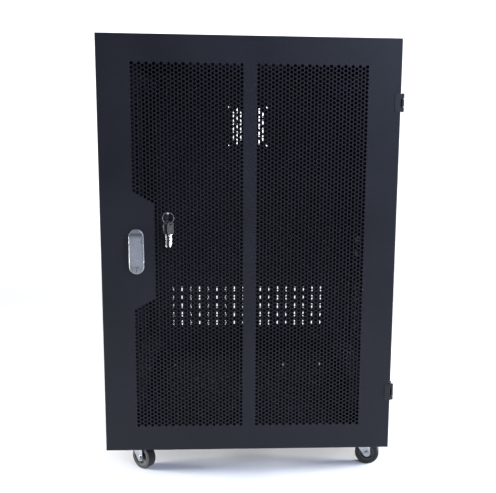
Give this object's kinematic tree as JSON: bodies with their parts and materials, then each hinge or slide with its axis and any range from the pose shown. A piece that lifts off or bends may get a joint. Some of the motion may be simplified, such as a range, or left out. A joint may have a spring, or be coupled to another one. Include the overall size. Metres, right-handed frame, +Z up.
{
  "type": "network server rack cabinet",
  "caption": "Free-standing black network rack cabinet on swivel castors, with a perforated swing front door, vented rear door and side panels, and square-holed rack uprights.",
  "frame": {"origin": "floor level, under the middle of the cabinet's four castors", "axes": "+Z up; the front door faces -Y; +X is to the right seen from the front, the side with the hinges"},
  "size_m": [0.6095, 0.6339, 0.918],
  "materials": {
    "black_powder_coat": "fine-textured black powder coat",
    "inner_powder_coat": "black powder coat, inside faces",
    "zinc_plate": "bright zinc plate",
    "die_cast_grey": "satin silver-grey lacquer on a die casting",
    "black_oxide": "semi-gloss black on steel",
    "brass_stud": "plain brass",
    "wheel_rubber": "matt black rubber",
    "key_nickel": "nickel plate",
    "tie_plastic": "white nylon"
  },
  "bodies": {
    "frame": {"top_frame": "black_powder_coat", "bottom_frame": "black_powder_coat", "post_front_left": "inner_powder_coat", "post_front_right": "inner_powder_coat", "post_rear_left": "inner_powder_coat", "post_rear_right": "inner_powder_coat", "depth_rail_left_low": "zinc_plate", "depth_rail_left_high": "zinc_plate", "depth_rail_right_low": "zinc_plate", "depth_rail_right_high": "zinc_plate", "rack_rail_front_left": "black_powder_coat", "rack_rail_front_right": "black_powder_coat", "rack_rail_rear_left": "black_powder_coat", "rack_rail_rear_right": "black_powder_coat", "cage_nuts": "zinc_plate", "rail_bolts": "zinc_plate", "roof_panel": "black_powder_coat", "floor_panel": "inner_powder_coat", "floor_knockout_left": "inner_powder_coat", "floor_knockout_right": "inner_powder_coat", "earth_stud": "brass_stud", "front_hinge_brackets": "black_oxide", "front_hinge_pins": "zinc_plate", "rear_hinge_brackets": "black_oxide", "rear_hinge_pins": "zinc_plate", "castor_plate_front_left": "zinc_plate", "castor_plate_front_right": "zinc_plate", "castor_plate_rear_left": "zinc_plate", "castor_plate_rear_right": "zinc_plate"},
    "roof_cover": {"roof_entry_cover": "inner_powder_coat"},
    "side_left": {"side_panel_left": "black_powder_coat"},
    "side_right": {"side_panel_right": "black_powder_coat"},
    "side_lock_left": {"side_lock_left": "zinc_plate"},
    "side_lock_right": {"side_lock_right": "zinc_plate"},
    "front_door": {"front_door_skin": "black_powder_coat", "front_mesh_left": "black_powder_coat", "front_mesh_right": "black_powder_coat", "front_door_stiffener": "black_powder_coat", "front_hinge_leaves": "black_oxide", "handle_base": "die_cast_grey", "key_tie": "tie_plastic"},
    "handle_turn": {"handle_spindle": "zinc_plate", "handle_pin": "zinc_plate", "handle_cam": "zinc_plate"},
    "handle_grip": {"handle_lever": "die_cast_grey"},
    "lock_barrel": {"key_cylinder": "zinc_plate"},
    "key_bunch": {"key_ring": "key_nickel", "keys": "key_nickel"},
    "rear_door": {"rear_door": "black_powder_coat", "rear_hinge_leaves": "black_oxide", "rear_lock_escutcheon": "die_cast_grey"},
    "rear_lock": {"rear_lock_knob": "zinc_plate"},
    "swivel_front_left": {"castor_fork_front_left": "zinc_plate"},
    "wheel_front_left": {"castor_wheel_front_left": "wheel_rubber"},
    "swivel_front_right": {"castor_fork_front_right": "zinc_plate"},
    "wheel_front_right": {"castor_wheel_front_right": "wheel_rubber"},
    "swivel_rear_left": {"castor_fork_rear_left": "zinc_plate"},
    "wheel_rear_left": {"castor_wheel_rear_left": "wheel_rubber"},
    "swivel_rear_right": {"castor_fork_rear_right": "zinc_plate"},
    "wheel_rear_right": {"castor_wheel_rear_right": "wheel_rubber"}
  },
  "joints": [
    {"name": "front_door_swing", "type": "hinge", "parent": "frame", "child": "front_door", "pos_m": [0.304, -0.296, 0.459], "axis": [0, 0, 1], "range_deg": [0, 120]},
    {"name": "rear_door_swing", "type": "hinge", "parent": "frame", "child": "rear_door", "pos_m": [0.304, 0.296, 0.459], "axis": [0, 0, -1], "range_deg": [0, 120]},
    {"name": "handle_rotate", "type": "hinge", "parent": "front_door", "child": "handle_turn", "pos_m": [-0.228, -0.3, 0.5205], "axis": [0, 1, 0], "range_deg": [0, 90]},
    {"name": "handle_lift", "type": "hinge", "parent": "handle_turn", "child": "handle_grip", "pos_m": [-0.228, -0.3125, 0.5205], "axis": [-1, 0, 0], "range_deg": [0, 35]},
    {"name": "key_turn", "type": "hinge", "parent": "front_door", "child": "lock_barrel", "pos_m": [-0.228, -0.3, 0.4525], "axis": [0, 1, 0], "range_deg": [0, 90]},
    {"name": "key_ring_swing", "type": "hinge", "parent": "front_door", "child": "key_bunch", "pos_m": [-0.163, -0.3075, 0.5696], "axis": [0, 1, 0], "range_deg": [-12, 12]},
    {"name": "rear_lock_turn", "type": "hinge", "parent": "rear_door", "child": "rear_lock", "pos_m": [-0.228, 0.3, 0.4905], "axis": [0, 1, 0], "range_deg": [0, 90]},
    {"name": "side_panel_left_tilt", "type": "hinge", "parent": "frame", "child": "side_left", "pos_m": [-0.3, 0, 0.104], "axis": [0, -1, 0], "range_deg": [0, 20]},
    {"name": "side_panel_right_tilt", "type": "hinge", "parent": "frame", "child": "side_right", "pos_m": [0.3, 0, 0.104], "axis": [0, 1, 0], "range_deg": [0, 20]},
    {"name": "side_lock_left_turn", "type": "hinge", "parent": "side_left", "child": "side_lock_left", "pos_m": [-0.3, -0.225, 0.76], "axis": [1, 0, 0], "range_deg": [0, 90]},
    {"name": "side_lock_right_turn", "type": "hinge", "parent": "side_right", "child": "side_lock_right", "pos_m": [0.3, -0.225, 0.76], "axis": [1, 0, 0], "range_deg": [0, 90]},
    {"name": "roof_cover_slide", "type": "slide", "parent": "frame", "child": "roof_cover", "axis": [0, 1, 0], "range_m": [-0.05, 0.03]},
    {"name": "castor_swivel_front_left", "type": "hinge", "parent": "frame", "child": "swivel_front_left", "pos_m": [-0.245, -0.235, 0.058], "axis": [0, 0, 1], "continuous": true},
    {"name": "wheel_spin_front_left", "type": "hinge", "parent": "swivel_front_left", "child": "wheel_front_left", "pos_m": [-0.22845, -0.24793, 0.0265], "axis": [0.6157, 0.788, 0], "continuous": true},
    {"name": "castor_swivel_front_right", "type": "hinge", "parent": "frame", "child": "swivel_front_right", "pos_m": [0.245, -0.235, 0.058], "axis": [0, 0, 1], "continuous": true},
    {"name": "wheel_spin_front_right", "type": "hinge", "parent": "swivel_front_right", "child": "wheel_front_right", "pos_m": [0.26554, -0.23937, 0.0265], "axis": [0.2079, 0.9781, 0], "continuous": true},
    {"name": "castor_swivel_rear_left", "type": "hinge", "parent": "frame", "child": "swivel_rear_left", "pos_m": [-0.245, 0.235, 0.058], "axis": [0, 0, 1], "continuous": true},
    {"name": "wheel_spin_rear_left", "type": "hinge", "parent": "swivel_rear_left", "child": "wheel_rear_left", "pos_m": [-0.26473, 0.22782, 0.0265], "axis": [0.342, -0.9397, 0], "continuous": true},
    {"name": "castor_swivel_rear_right", "type": "hinge", "parent": "frame", "child": "swivel_rear_right", "pos_m": [0.245, 0.235, 0.058], "axis": [0, 0, 1], "continuous": true},
    {"name": "wheel_spin_rear_right", "type": "hinge", "parent": "swivel_rear_right", "child": "wheel_rear_right", "pos_m": [0.22597, 0.24388, 0.0265], "axis": [-0.4226, -0.9063, 0], "continuous": true}
  ]
}
